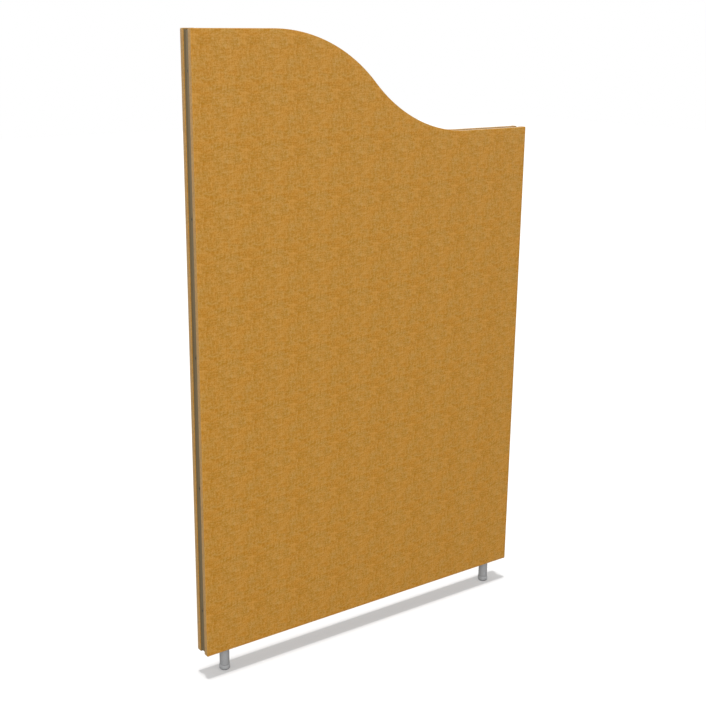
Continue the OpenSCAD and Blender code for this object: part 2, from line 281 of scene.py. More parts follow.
def new_piece(name, points, faces, material, body, sharp):
    """An object from points and faces, smooth except at edges sharper than the given angle."""
    mesh = bpy.data.meshes.new(name)
    mesh.from_pydata([tuple(p) for p in points], [], faces)
    mesh.update()
    mesh.shade_smooth()
    mesh.set_sharp_from_angle(angle=math.radians(sharp))
    mesh.materials.append(material)
    piece = bpy.data.objects.new(name, mesh)
    scene.collection.objects.link(piece)
    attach(piece, body)
    print(name, "has", len(points), "points and", len(faces), "faces")
    return piece


# %% [markdown]
# ## The cloth's pattern
#
# The cloth is a plain weave of melange yarn: fibres dyed in several shades are spun together,
# so each yarn changes colour along its length. Seen from close by there are threads, 1.25 mm
# apart. From a step away the threads merge, and what is left is fine flecks and long, thin
# streaks along the two thread directions, on soft clouds of lighter and deeper ochre.
#
# A pattern that is worked out from other patterns goes into a node group, which has named inputs
# and outputs like a node of its own and can be placed in any material.
#
# The clouds and streaks repeat every 125 mm, as the pattern of a loom does. Noise can be made
# to repeat without a seam: each of the two directions is wrapped round a circle, and the two
# circles together are a point in four dimensions, where the noise is read. The bigger the
# circle, the more features fit in one repeat.

# %% Helpers for node groups
def new_group(name, inputs, outputs):
    """An empty node group with typed inputs and outputs, and its two end nodes."""
    group = bpy.data.node_groups.new(name, "ShaderNodeTree")
    for side, sockets in (("INPUT", inputs), ("OUTPUT", outputs)):
        for label, kind, value in sockets:
            made = group.interface.new_socket(label, in_out=side, socket_type="NodeSocket" + kind)
            if value is not None:
                made.default_value = value
    return group, group.nodes.new("NodeGroupInput"), group.nodes.new("NodeGroupOutput")


def placed(tree, group, inputs):
    """One use of a node group inside a material or another group."""
    return add(tree, "ShaderNodeGroup", inputs, node_tree=group)


# %% Node group: noise that repeats along the cloth
PATTERN_REPEAT = 125 * MM


def make_repeating_noise():
    group, given, result = new_group(
        "repeating noise",
        [("Cloth", "Vector", None), ("Repeat", "Float", PATTERN_REPEAT), ("Across", "Float", 3.0),
         ("Up", "Float", 3.0), ("Detail", "Float", 2.0)],
        [("Value", "Float", None)])
    turns = add(group, "ShaderNodeVectorMath", {0: given.outputs["Cloth"]}, operation="SCALE")
    turn = maths(group, "DIVIDE", 2 * math.pi, given.outputs["Repeat"])
    group.links.new(turn, turns.inputs["Scale"])
    parts = add(group, "ShaderNodeSeparateXYZ", {0: turns.outputs[0]})
    places = []
    for axis, count in (("X", "Across"), ("Y", "Up")):
        radius = maths(group, "DIVIDE", given.outputs[count], 2 * math.pi)
        for wave in ("COSINE", "SINE"):
            places.append(maths(group, "MULTIPLY", maths(group, wave, parts.outputs[axis]), radius))
    point = add(group, "ShaderNodeCombineXYZ", dict(zip("XYZ", places)))
    cloud = add(group, "ShaderNodeTexNoise",
                {"Vector": point.outputs[0], "W": places[3], "Scale": 1.0,
                 "Detail": given.outputs["Detail"], "Roughness": 0.6}, noise_dimensions="4D")
    group.links.new(cloud.outputs["Fac"], result.inputs["Value"])
    return group


repeating_noise = make_repeating_noise()
print("group:", repeating_noise.name)

# %% [markdown]
# ### The weave
#
# In a plain weave each yarn goes over one and under the next, so the yarn on top changes like
# the squares of a chessboard. The whole part of the cloth's coordinates, counted in threads,
# gives the square, and the rest gives the place in it, from which comes the yarn's height: round
# across the yarn, and lower along it where it dives under the next one. The colour of a yarn is
# noise read along it, in a lane set by the yarn's number. Real yarns are never quite straight, so
# a slow noise first bends the coordinates a little.

# %% Node group: plain weave
YARN_PITCH, MELANGE_LENGTH = 1.25 * MM, 8.0 * MM
WANDER, WANDERS_PER_METRE = 0.7 * MM, 160.0
FIBRES_PER_METRE = 2600.0
SIDE_DROP, CROSSING_DROP = 1.0, 0.55
LANE_STEP, WEFT_LANES = 3.71, 91.7


def make_weave():
    group, given, result = new_group(
        "plain weave",
        [("Cloth", "Vector", None), ("Pitch", "Float", YARN_PITCH),
         ("Melange", "Float", MELANGE_LENGTH)],
        [("Height", "Float", None), ("Yarn", "Float", None), ("Fibre", "Float", None)])
    cloth = given.outputs["Cloth"]
    wander = add(group, "ShaderNodeTexNoise",
                 {"Vector": cloth, "Scale": WANDERS_PER_METRE, "Detail": 1.0},
                 noise_dimensions="2D")
    shift = add(group, "ShaderNodeVectorMath", {0: wander.outputs["Color"], 1: (0.5, 0.5, 0.5)},
                operation="SUBTRACT")
    bent = add(group, "ShaderNodeVectorMath",
               {0: shift.outputs[0], 1: (WANDER, WANDER, 0), 2: cloth}, operation="MULTIPLY_ADD")
    per_thread = maths(group, "DIVIDE", 1.0, given.outputs["Pitch"])
    threads = add(group, "ShaderNodeVectorMath", {0: bent.outputs[0]}, operation="SCALE")
    group.links.new(per_thread, threads.inputs["Scale"])
    number = add(group, "ShaderNodeVectorMath", {0: threads.outputs[0]}, operation="FLOOR")
    rest = add(group, "ShaderNodeVectorMath", {0: threads.outputs[0]}, operation="FRACTION")
    n = add(group, "ShaderNodeSeparateXYZ", {0: number.outputs[0]})
    f = add(group, "ShaderNodeSeparateXYZ", {0: rest.outputs[0]})
    both = maths(group, "ADD", n.outputs["X"], n.outputs["Y"])
    weft_on_top = maths(group, "FLOORED_MODULO", both, 2.0)

    def chosen(warp, weft):
        """The warp's value where the warp is on top, and the weft's where the weft is."""
        return add(group, "ShaderNodeMix", {0: weft_on_top, 2: warp, 3: weft}).outputs[0]

    def round_of(place, drop):
        """1 in the middle of a thread's square, and less by the drop at two of its sides."""
        offset = maths(group, "ABSOLUTE", maths(group, "MULTIPLY_ADD", place, 2.0, -1.0))
        square = maths(group, "POWER", offset, 2.0)
        return maths(group, "MULTIPLY_ADD", square, -drop, 1.0)

    across = round_of(chosen(f.outputs["X"], f.outputs["Y"]), SIDE_DROP)
    along = round_of(chosen(f.outputs["Y"], f.outputs["X"]), CROSSING_DROP)
    group.links.new(maths(group, "MULTIPLY", across, along), result.inputs["Height"])

    parts = add(group, "ShaderNodeSeparateXYZ", {0: cloth})
    shades = []
    for yarn, run, offset in (("X", "Y", 0.0), ("Y", "X", WEFT_LANES)):
        lane = maths(group, "MULTIPLY_ADD", n.outputs[yarn], LANE_STEP, offset)
        length = maths(group, "DIVIDE", parts.outputs[run], given.outputs["Melange"])
        place = add(group, "ShaderNodeCombineXYZ", {"X": lane, "Y": length})
        shade = add(group, "ShaderNodeTexNoise",
                    {"Vector": place.outputs[0], "Scale": 1.0, "Detail": 2.0, "Roughness": 0.6},
                    noise_dimensions="2D")
        shades.append(shade.outputs["Fac"])
    group.links.new(chosen(*shades), result.inputs["Yarn"])
    fibre = add(group, "ShaderNodeTexNoise",
                {"Vector": cloth, "Scale": FIBRES_PER_METRE, "Detail": 2.0},
                noise_dimensions="2D")
    group.links.new(fibre.outputs["Fac"], result.inputs["Fibre"])
    return group


plain_weave = make_weave()
outputs = [s.name for s in plain_weave.interface.items_tree if s.in_out == "OUTPUT"]
print("group:", plain_weave.name, "with outputs", outputs)

# %% [markdown]
# ### A short way to write materials
#
# Every material here is a Principled BSDF. What is the same all over is set on its sockets by
# name, and what changes over the surface is linked to its colour, its roughness and, through a
# Bump node, its normal. A noise gives values round one half, so sums of noises are written as
# one half plus what each of them adds or takes away.

# %% Helpers for materials
def ranged(tree, value, low, high, new_low, new_high):
    """A value spread from one range to another, and held at the ends."""
    return add(tree, "ShaderNodeMapRange", {"Value": value, "From Min": low, "From Max": high,
                                            "To Min": new_low, "To Max": new_high}).outputs[0]


def weighed(tree, parts):
    """One half, plus the distance of each value from one half times its weight."""
    total = 0.5 - sum(weight for value, weight in parts) / 2
    for value, weight in parts:
        total = maths(tree, "MULTIPLY_ADD", value, weight, total)
    return total


def new_material(name, **values):
    """A material with a Principled BSDF whose plain values are set on its own sockets."""
    material = bpy.data.materials.new(name)
    material.use_nodes = True
    shader = material.node_tree.nodes["Principled BSDF"]
    for label, value in values.items():
        shader.inputs[label.replace("_", " ")].default_value = value
    return material, material.node_tree, shader


def bump(tree, shader, height, distance):
    """Puts a height over the surface into the shader's normal. The distance is in metres."""
    node = add(tree, "ShaderNodeBump", {"Strength": 1.0, "Distance": distance, "Height": height})
    tree.links.new(node.outputs["Normal"], shader.inputs["Normal"])


# %% [markdown]
# ### Ochre melange
#
# Two sums put the scales together. The first one decides how light the cloth is at a place: fine
# flecks, long streaks along the weft and the warp, slow clouds, and the shades of the single
# yarns. The second one moves its hue between olive and rust, in broader streaks both ways and in
# patches. The light end of the first sum has much more blue in it than the dark end, and only a
# little more red, because the pale fibres of a melange are nearly undyed. The gaps between the
# yarns are darker than their crowns: that is painted shade, which falls with the weave's height.
#
# Each row of the two lists is one noise: how many of its features lie across and up one repeat,
# how much finer detail it has, and its weight in the sum.
#
# The cloth's own coordinates are stored on the mesh as the attribute `cloth`, in metres along
# the weft and the warp, so that threads run on round every edge.
#
# Loose fibres stand up from the cloth, and at a glancing angle they throw back a pale veil of
# light, as on the edges of the covers. This sheen is painted: the colour is mixed towards a pale
# tone by the angle of view, so it hardly shows from the front. It never hides the cloth, so its
# share stops well below a half.

# %% Material: ochre melange cloth
OLIVE, RUST = (0.453, 0.231, 0.0365, 1), (0.489, 0.223, 0.0245, 1)
DARK, LIGHT = (0.88, 0.79, 0.20, 1), (1.12, 1.21, 1.80, 1)
LIGHTNESS_NOISES = [(40, 40, 1.0, 2.2), (7, 36, 1.0, 1.8), (32, 7, 1.0, 1.2), (5, 5, 2.0, 0.8)]
HUE_NOISES = [(2.5, 11, 1.0, 2.0), (9, 2.5, 1.0, 1.6), (3, 3, 1.0, 1.3)]
YARN_WEIGHT = 1.1
PAINTED_GAP_SHADE, PAINTED_CROWN_LIGHT, CROWN_FROM = 0.72, 1.08, 0.7
# The pale tone and the glancing angles over which it grows make up a painted sheen.
SHEEN_TONE, SHEEN_FROM, SHEEN_TO, SHEEN_SHARE = (0.38, 0.34, 0.24, 1), 0.36, 0.60, 0.36
THREAD_DEPTH, FIBRE_HEIGHT = 0.25 * MM, 0.5


def make_cloth_material():
    material, tree, shader = new_material("ochre melange cloth", Roughness=0.38,
                                         Specular_IOR_Level=0.25)
    cloth = add(tree, "ShaderNodeAttribute", attribute_name="cloth").outputs["Vector"]

    def repeating(noises):
        """The value and the weight of each noise in a list."""
        return [(placed(tree, repeating_noise, {"Cloth": cloth, "Across": across, "Up": up,
                                                "Detail": detail}).outputs["Value"], weight)
                for across, up, detail, weight in noises]

    threads = placed(tree, plain_weave, {"Cloth": cloth})
    yarns = [(threads.outputs["Yarn"], YARN_WEIGHT)]
    lightness = weighed(tree, repeating(LIGHTNESS_NOISES) + yarns)
    hue = weighed(tree, repeating(HUE_NOISES))
    tone = mixed(tree, 1.0, mixed(tree, hue, OLIVE, RUST), mixed(tree, lightness, DARK, LIGHT),
                 "MULTIPLY")
    height = threads.outputs["Height"]
    # Painted shade: the colour is darker in the gaps of the weave and a little lighter on the
    # crowns.
    painted_weave_shade = ranged(tree, height, 0.0, CROWN_FROM, PAINTED_GAP_SHADE, PAINTED_CROWN_LIGHT)
    colour = add(tree, "ShaderNodeVectorMath", {0: tone}, operation="SCALE")
    tree.links.new(painted_weave_shade, colour.inputs["Scale"])
    # Painted sheen: the colour turns pale as the surface turns away from the view.
    glance = add(tree, "ShaderNodeLayerWeight", {"Blend": 0.5}).outputs["Facing"]
    painted_sheen = ranged(tree, glance, SHEEN_FROM, SHEEN_TO, 0.0, SHEEN_SHARE)
    tree.links.new(mixed(tree, painted_sheen, colour.outputs[0], SHEEN_TONE), shader.inputs["Base Color"])

    relief = maths(tree, "MULTIPLY_ADD", threads.outputs["Fibre"], FIBRE_HEIGHT, height)
    bump(tree, shader, relief, THREAD_DEPTH)
    return material


cloth_material = make_cloth_material()
print("material:", cloth_material.name)

# %% [markdown]
# ## The covers
#
# Each cover is one piece of cloth, cut larger than its board, pulled tight over the face and
# folded over the edge on to the back. A cover could be the board's shape with a bevel, but then
# it would have no thickness, no turned edge and no folds at its corners. Here the face is a
# grid of upright columns that ends in the wave, and the rows that go round the edge are added
# to its rim: the soft round between face and edge, the flat edge, the tight round at the back
# and the strip that is turned in behind the board. The cloth is only fixed behind the board, so
# away from the edges it lies a few tenths of a millimetre off the face, a little unevenly.
#
# The rim is a list of points, each with the direction that leads straight out of the panel. A
# point further out is the rim's point moved along that direction, which is exact for straight
# edges and for arcs.

# %% Sizes of a cover
CLOTH_THICK = 1.0 * MM
FACE_ROUND = 1.8 * MM
BACK_ROUND = 1.2 * MM
CORNER_ROUND = 2.3 * MM
TURN_IN = 40.0 * MM
edge_depth = lip_back - front
print("edge is", round(edge_depth / MM, 2), "mm deep")

# %% The rim of the face: points with their outward directions
CORNER_STEPS, ARC_STEPS = 4, 26
PLAIN_STEP = 14 * MM
FOLD_PLACES = [1.5 * MM, 3.2 * MM, 4.0 * MM, 8.0 * MM, 16.0 * MM]


def arc(centre, radius, start, end, steps):
    """Points and outward directions on an arc, with its angles from +X towards +Z."""
    found = []
    for i in range(steps + 1):
        angle = start + (end - start) * i / steps
        way = Vector((math.cos(angle), math.sin(angle)))
        found.append((Vector(centre) + radius * way, way))
    return found


def level(corner, end, z):
    """Points on a level edge, close together near the corner, where the cloth is folded."""
    way = 1 if end > corner else -1
    places = [corner + way * d for d in FOLD_PLACES]
    count = round(abs(end - places[-1]) / PLAIN_STEP)
    places += [places[-1] + (end - places[-1]) * i / count for i in range(1, count)]
    return [(Vector((x, z)), Vector((0, 1))) for x in sorted(places)]


def face_rim():
    """Points of the face's upper rim from left to right, and the lower rim's points under them."""
    r, up = CORNER_ROUND - FACE_ROUND, math.pi / 2
    x0, x1 = left + CORNER_ROUND, right - CORNER_ROUND
    z0, z1 = high_top - FACE_ROUND, low_top - FACE_ROUND
    crest, dip = (-wave_half, high_top - wave_radius), (wave_half, low_top + wave_radius)
    falling = arc(crest, wave_radius - FACE_ROUND, up, up - wave_turn, ARC_STEPS)
    rising = arc(dip, wave_radius + FACE_ROUND, -up - wave_turn, -up, ARC_STEPS)
    upper = arc((x0, z0 - r), r, 2 * up, up, CORNER_STEPS) + level(x0, -wave_half, z0)
    upper += falling + [(p, -way) for p, way in rising[1:]]
    upper += level(x1, wave_half, z1) + arc((x1, z1 - r), r, up, 0, CORNER_STEPS)
    lower = []
    for i, (p, way) in enumerate(upper):
        corner = i < CORNER_STEPS or i > len(upper) - 1 - CORNER_STEPS
        turned = Vector((way.x, -way.y)) if corner else Vector((0, -1))
        lower.append((Vector((p.x, bottom + FACE_ROUND + r + r * turned.y)), turned))
    return upper, lower


upper_rim, lower_rim = face_rim()
print("the face has", len(upper_rim), "columns")

# %% [markdown]
# ### Round the edge
#
# The rings that follow the rim are one profile, swept round the outline. Each step of the
# profile is an offset straight out of the panel, a depth behind the face, and two shares: how
# far a fold slants at that depth, and how much of its thickness it has.
#
# At a corner there is too much cloth for the edge. On a stretched cover the spare part is laid
# over to the level edge, which makes a second layer there. It ends in a slanting line, from the
# corner of the face to about 13 mm along the edge at the back. The points near a corner are
# therefore slid along the edge with the depth, and the ones before the line are lifted.
#
# The last rings run in behind the board by 40 mm. Near a corner they stop earlier, so that the
# strips of the two edges meet in a mitre and don't cross.

# %% The profile round the edge
ROUND_STEPS, FLAT_STEPS, LIP_STEPS = 5, 3, 3


def edge_profile():
    """Rows of offset, depth, slant share, fold share and length of cloth, from the face inwards."""
    turns = [math.pi / 2 * i / ROUND_STEPS for i in range(1, ROUND_STEPS + 1)]
    flat_end = edge_depth - BACK_ROUND
    rows = [(FACE_ROUND * math.sin(turn), FACE_ROUND * (1 - math.cos(turn)), math.sin(turn))
            for turn in turns]
    rows += [(FACE_ROUND, FACE_ROUND + (flat_end - FACE_ROUND) * i / FLAT_STEPS, 1.0)
             for i in range(1, FLAT_STEPS + 1)]
    rows += [(FACE_ROUND - BACK_ROUND * (1 - math.cos(turn)),
              flat_end + BACK_ROUND * math.sin(turn), math.cos(turn)) for turn in turns]
    found, length, last = [], 0.0, (0.0, 0.0)
    for offset, depth, fold in rows:
        length += math.dist(last, (offset, depth))
        last = (offset, depth)
        found.append((offset, depth, depth / edge_depth, fold, length))
    return found


profile = edge_profile()
print("cloth from the face to the turned-in strip:", round(profile[-1][4] / MM, 1), "mm")

# %% The grid of the face
FACE_ROWS = 108
FULLNESS, TIGHT_BORDER = 0.25 * MM, 60 * MM
SWELLS_PER_METRE, SWELL_MIDDLE, SIDES_APART = 7, 0.7, 5


def top_at(x):
    """Height of the panel's top edge."""
    if x <= -wave_half:
        return high_top
    if x >= wave_half:
        return low_top
    if x <= 0:
        return high_top - wave_radius + math.sqrt(wave_radius ** 2 - (x + wave_half) ** 2)
    return low_top + wave_radius - math.sqrt(wave_radius ** 2 - (wave_half - x) ** 2)


def smooth_step(low, high, value):
    """0 up to low, 1 from high on, and an even S between them."""
    t = min(1.0, max(0.0, (value - low) / (high - low)))
    return t * t * (3 - 2 * t)


def face_grid(side):
    """Rows of points over the face, which swells slightly inside its border, and flat places."""
    points, flat = [], []
    for r in range(FACE_ROWS + 1):
        for (above, _), (below, _) in zip(upper_rim, lower_rim):
            x, z = above.x, below.y + (above.y - below.y) * r / FACE_ROWS
            border = min(x - left, right - x, z - bottom, top_at(x) - z)
            spot = Vector((SWELLS_PER_METRE * x, SWELLS_PER_METRE * z, SIDES_APART * side))
            swell = max(0.0, noise.noise(spot) + SWELL_MIDDLE)
            full = FULLNESS * smooth_step(FACE_ROUND, TIGHT_BORDER, border) * swell
            points.append(Vector((x, side * (abs(front) + full), z)))
            flat.append((x, z))
    return points, flat


# %% The rim of the grid, with its folds
FOLD_LIFT = 0.5 * MM
FOLD_SLIDES = [5.0 * MM, 10.0 * MM, 10.0 * MM, 8.5 * MM, 3.0 * MM]
NEAR_ENOUGH = 0.05 * MM


def rim_indices():
    """The rim's points in order: index in the grid, way out, and if it is on a level edge."""
    columns = len(upper_rim)
    top_row, last = FACE_ROWS * columns, columns - 1
    loop = [(top_row + c, upper_rim[c][1], True) for c in range(columns)]
    loop += [(r * columns + last, Vector((1, 0)), False) for r in range(FACE_ROWS - 1, 0, -1)]
    loop += [(c, lower_rim[c][1], True) for c in range(last, -1, -1)]
    loop += [(r * columns, Vector((-1, 0)), False) for r in range(1, FACE_ROWS)]
    return loop


def folded(base, way, level_edge):
    """A rim point's distance from the corner, and how far it is slid along and lifted there."""
    if not level_edge:
        return min(base.y - bottom, top_at(base.x) - base.y) - CORNER_ROUND, 0.0, 0.0
    along = min(base.x - left, right - base.x) - CORNER_ROUND
    slides = [s for s, d in zip(FOLD_SLIDES, FOLD_PLACES) if abs(along - d) < NEAR_ENOUGH]
    lift = FOLD_LIFT * way.y ** 2 if along < FOLD_PLACES[1] + NEAR_ENOUGH else 0.0
    return along, slides[0] if slides else 0.0, lift


# %% Make a cover
LIP_REACH = CORNER_ROUND - 0.3 * MM
BACK_PATTERN_SHIFT = (37 * MM, 61 * MM)


def wrap_round(points, flat, faces, side):
    """Adds the rings that follow the profile round the edge and then run in behind the board."""
    loop = rim_indices()
    rim = []
    for index, way, level_edge in loop:
        base = Vector((points[index].x, points[index].z))
        rim.append((base, way, *folded(base, way, level_edge)))
    before = [index for index, way, level_edge in loop]
    for k in range(len(profile) + LIP_STEPS):
        offset, depth, slant, fold, length = profile[min(k, len(profile) - 1)]
        lip_share = max(0, k + 1 - len(profile)) / LIP_STEPS
        ring = range(len(points), len(points) + len(rim))
        for base, way, along, slide, lift in rim:
            step = (min(TURN_IN, LIP_REACH + max(0.0, along + slide)) - BACK_ROUND) * lip_share
            sideways = Vector((math.copysign(1, -base.x), 0)) * slide * slant
            spot = base + way * (offset - step + lift * fold) + sideways
            points.append(Vector((spot.x, side * (abs(front) - depth), spot.y)))
            flat.append(base + way * (length + step) + sideways)
        for i in range(len(rim)):
            j = (i + 1) % len(rim)
            faces.append((before[i], before[j], ring[j], ring[i]))
        before = ring


def make_cover(name, node, side, shift):
    """A cover for the front (side -1) or the back (side 1), with its cloth's pattern shifted."""
    points, flat = face_grid(side)
    faces = grid_faces(FACE_ROWS + 1, len(upper_rim))
    wrap_round(points, flat, faces, side)
    if side > 0:
        faces = [tuple(reversed(face)) for face in faces]

    piece = new_piece(name, points, faces, cloth_material, "screen", sharp=60)
    stored = piece.data.attributes.new("cloth", "FLOAT_VECTOR", "POINT")
    stored.data.foreach_set("vector", [v for x, z in flat for v in (x + shift[0], z + shift[1], 0)])
    thickness = piece.modifiers.new("cloth thickness", "SOLIDIFY")
    thickness.thickness, thickness.offset = CLOTH_THICK, -1.0
    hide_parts(node)


make_cover("front_cloth_cover", "front_cover", -1, (0.0, 0.0))
make_cover("back_cloth_cover", "back_cover", 1, BACK_PATTERN_SHIFT)

# %% [markdown]
# ## Wool
#
# The two fields of the frame are filled with slabs of absorber wool. The slabs are soft, so
# they have no sharp edges and no flat faces. A voxel remesh of the solid gives an even mesh
# with rounded edges, and its points are then moved in by a slow noise.

# %% Material: grey absorber wool
WOOL_DARK, WOOL_GREY = (0.09, 0.095, 0.1, 1), (0.19, 0.195, 0.2, 1)
WOOL_HAIR, HAIR_SHARE, HAIR_DEPTH = (0.3, 0.3, 0.29, 1), 0.6, 0.6 * MM
TUFTS_PER_METRE, HAIRS_PER_METRE = 60.0, 900.0


def object_place(tree):
    """Coordinates in metres, fixed to the piece."""
    return add(tree, "ShaderNodeTexCoord").outputs["Object"]


def make_wool_material():
    material, tree, shader = new_material("grey absorber wool", Roughness=0.95)
    place = object_place(tree)
    tufts = add(tree, "ShaderNodeTexNoise",
                {"Vector": place, "Scale": TUFTS_PER_METRE, "Detail": 3.0})
    hairs = add(tree, "ShaderNodeTexNoise",
                {"Vector": place, "Scale": HAIRS_PER_METRE, "Detail": 3.0, "Distortion": 2.0})
    shade = mixed(tree, tufts.outputs["Fac"], WOOL_DARK, WOOL_GREY)
    hair_share = ranged(tree, hairs.outputs["Fac"], 0.5, 0.7, 0.0, HAIR_SHARE)
    tree.links.new(mixed(tree, hair_share, shade, WOOL_HAIR), shader.inputs["Base Color"])
    bump(tree, shader, hairs.outputs["Fac"], HAIR_DEPTH)
    return material


wool_material = make_wool_material()
print("material:", wool_material.name)

# %% Make the wool slabs
WOOL_VOXEL, WOOL_SINK, WOOL_WAVES = 6.0 * MM, 1.2 * MM, 25


def make_slab(name, node):
    """A soft slab in the place of a solid one."""
    low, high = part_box(node)
    piece = bpy.data.objects.new(name, bpy.data.objects[node].data.copy())
    scene.collection.objects.link(piece)
    remesh = piece.modifiers.new("remesh", "REMESH")
    remesh.mode, remesh.voxel_size = "VOXEL", WOOL_VOXEL
    bpy.context.view_layer.update()
    smooth = bpy.data.meshes.new_from_object(
        piece.evaluated_get(bpy.context.evaluated_depsgraph_get()))
    piece.modifiers.clear()
    middle = (low.y + high.y) / 2
    for vertex in smooth.vertices:
        sink = WOOL_SINK * (0.5 + 0.5 * noise.noise(vertex.co * WOOL_WAVES))
        depth = vertex.co.y - middle
        vertex.co.y = middle + math.copysign(max(0.0, abs(depth) - sink), depth)
    smooth.name = name
    smooth.shade_smooth()
    smooth.materials.clear()
    smooth.materials.append(wool_material)
    piece.data = smooth
    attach(piece, "screen")
    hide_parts(node)
    print(name, "has", len(smooth.polygons), "faces")


make_slab("lower_wool_slab", "lower_infill")
make_slab("upper_wool_slab", "upper_infill")

# %% [markdown]
# ## Materials of the solids
#
# The other pieces keep the meshes of the solids and only need materials. Two small node groups
# serve all of them. `streaks` is noise that can be drawn out in any direction, which gives the
# lines of extruded and turned metal, the fibres of timber and the fluff of pressed board. `wear`
# gives soft smudges, for uneven roughness, and short curved scuffs, which are the upper part of a
# noise whose coordinates are bent into swirls.

# %% Node groups: streaks and wear
SWIRLS_PER_SMUDGE, SCUFF_FROM, SCUFF_TO = 4.0, 0.60, 0.66


def make_streaks():
    group, given, result = new_group(
        "streaks",
        [("Place", "Vector", None), ("Per Metre", "Vector", None), ("Detail", "Float", 2.0)],
        [("Value", "Float", None)])
    drawn_out = add(group, "ShaderNodeVectorMath",
                    {0: given.outputs["Place"], 1: given.outputs["Per Metre"]},
                    operation="MULTIPLY")
    grain = add(group, "ShaderNodeTexNoise",
                {"Vector": drawn_out.outputs[0], "Scale": 1.0, "Detail": given.outputs["Detail"],
                 "Roughness": 0.6})
    group.links.new(grain.outputs["Fac"], result.inputs["Value"])
    return group


def make_wear():
    group, given, result = new_group(
        "wear", [("Place", "Vector", None), ("Size", "Float", 30 * MM)],
        [("Smudge", "Float", None), ("Scuff", "Float", None)])
    place = given.outputs["Place"]
    smudges_per_metre = maths(group, "DIVIDE", 1.0, given.outputs["Size"])
    swirls_per_metre = maths(group, "MULTIPLY", smudges_per_metre, SWIRLS_PER_SMUDGE)
    smudge = add(group, "ShaderNodeTexNoise",
                 {"Vector": place, "Scale": smudges_per_metre, "Detail": 4.0})
    swirl = add(group, "ShaderNodeTexNoise",
                {"Vector": place, "Scale": swirls_per_metre, "Detail": 1.0, "Distortion": 3.0})
    scuff = ranged(group, swirl.outputs["Fac"], SCUFF_FROM, SCUFF_TO, 0.0, 1.0)
    group.links.new(smudge.outputs["Fac"], result.inputs["Smudge"])
    group.links.new(scuff, result.inputs["Scuff"])
    return group


streaks, wear = make_streaks(), make_wear()
print("groups:", streaks.name, "and", wear.name)

# %% Helpers that place the two groups
def streaks_at(tree, place, per_metre, detail=2.0):
    """The value of the streaks group at a place, with so many features per metre on each axis."""
    return placed(tree, streaks, {"Place": place, "Per Metre": per_metre,
                                  "Detail": detail}).outputs["Value"]


def worn(tree, shader, place, size, roughness, spread=0.2):
    """Moves the roughness up and down with smudges of a size, and returns the scuffs."""
    marks = placed(tree, wear, {"Place": place, "Size": size})
    uneven = maths(tree, "MULTIPLY_ADD", marks.outputs["Smudge"], spread, roughness - spread / 2)
    tree.links.new(uneven, shader.inputs["Roughness"])
    return marks.outputs["Scuff"]


def between(tree, value, dark, light):
    """A colour from dark to light. Most noise lies from 0.3 to 0.7, which becomes 0 to 1."""
    return mixed(tree, ranged(tree, value, 0.3, 0.7, 0.0, 1.0), dark, light)


# %% [markdown]
# ### Metal
#
# Bare metal is one recipe: two tones mixed by fine lines, a roughness that the smudges move up
# and down, and the same lines as a very shallow relief. What changes is the direction of the
# lines. An extruded channel has them along its length, so they only vary across it, and a turned
# part has them round its axis, so they only vary with the height. The channel's aluminium is
# given a dark brown colour that stands for the shade in the groove and the ochre light that the
# cloth throws into it: painted shade and a painted reflection. It is set hardly metallic.
#
# The posts and the pads are powder coated. Powder melts into a skin that is even from far away
# and slightly wavy from close by, with tiny flakes of two greys in it.

# %% Bare and anodised metal
LINE_DEPTH, METAL_SMUDGE, SCUFF_SHARE = 0.01 * MM, 20 * MM, 0.2
ALONG_EDGES, ROUND_AXIS, EVERY_WAY = (3, 2500, 3), (60, 60, 7000), (900, 900, 900)


def make_metal(name, dark, light, per_metre, roughness, metallic=1.0):
    material, tree, shader = new_material(name, Metallic=metallic)
    place = object_place(tree)
    lines = streaks_at(tree, place, per_metre, 3.0)
    scuffs = worn(tree, shader, place, METAL_SMUDGE, roughness)
    scuff_share = maths(tree, "MULTIPLY", scuffs, SCUFF_SHARE)
    tone = mixed(tree, scuff_share, mixed(tree, lines, dark, light), light)
    tree.links.new(tone, shader.inputs["Base Color"])
    bump(tree, shader, lines, LINE_DEPTH)
    print("material:", name)
    return material


# Painted shade and a painted reflection: the channel's dark brown stands for the groove's shade and
# the cloth's light.
channel_material = make_metal("aluminium in painted groove shade", (0.138, 0.100, 0.049, 1),
                              (0.222, 0.164, 0.082, 1), ALONG_EDGES, 0.45, metallic=0.1)
steel_material = make_metal("turned steel", (0.46, 0.46, 0.47, 1), (0.66, 0.66, 0.67, 1),
                            ROUND_AXIS, 0.32)
brass_material = make_metal("turned brass", (0.62, 0.42, 0.16, 1), (0.80, 0.60, 0.28, 1),
                            ROUND_AXIS, 0.3)
screw_material = make_metal("dark passivated zinc", (0.110, 0.100, 0.080, 1),
                            (0.190, 0.175, 0.145, 1), EVERY_WAY, 0.42)

# %% Powder coat, and a paler coat with painted light
FLAKES_PER_METRE, WAVES_PER_METRE, WAVE_DEPTH = (6000, 6000, 6000), (900, 900, 900), 0.03 * MM
COAT_SMUDGE, COAT_ROUGHNESS, COAT_SPREAD = 30 * MM, 0.46, 0.16


def make_powder_coat(name, dark, light):
    material, tree, shader = new_material(name, Metallic=0.3)
    place = object_place(tree)
    flakes = streaks_at(tree, place, FLAKES_PER_METRE, 1.0)
    skin = streaks_at(tree, place, WAVES_PER_METRE, 1.0)
    worn(tree, shader, place, COAT_SMUDGE, COAT_ROUGHNESS, COAT_SPREAD)
    tree.links.new(between(tree, flakes, dark, light), shader.inputs["Base Color"])
    bump(tree, shader, skin, WAVE_DEPTH)
    print("material:", name)
    return material


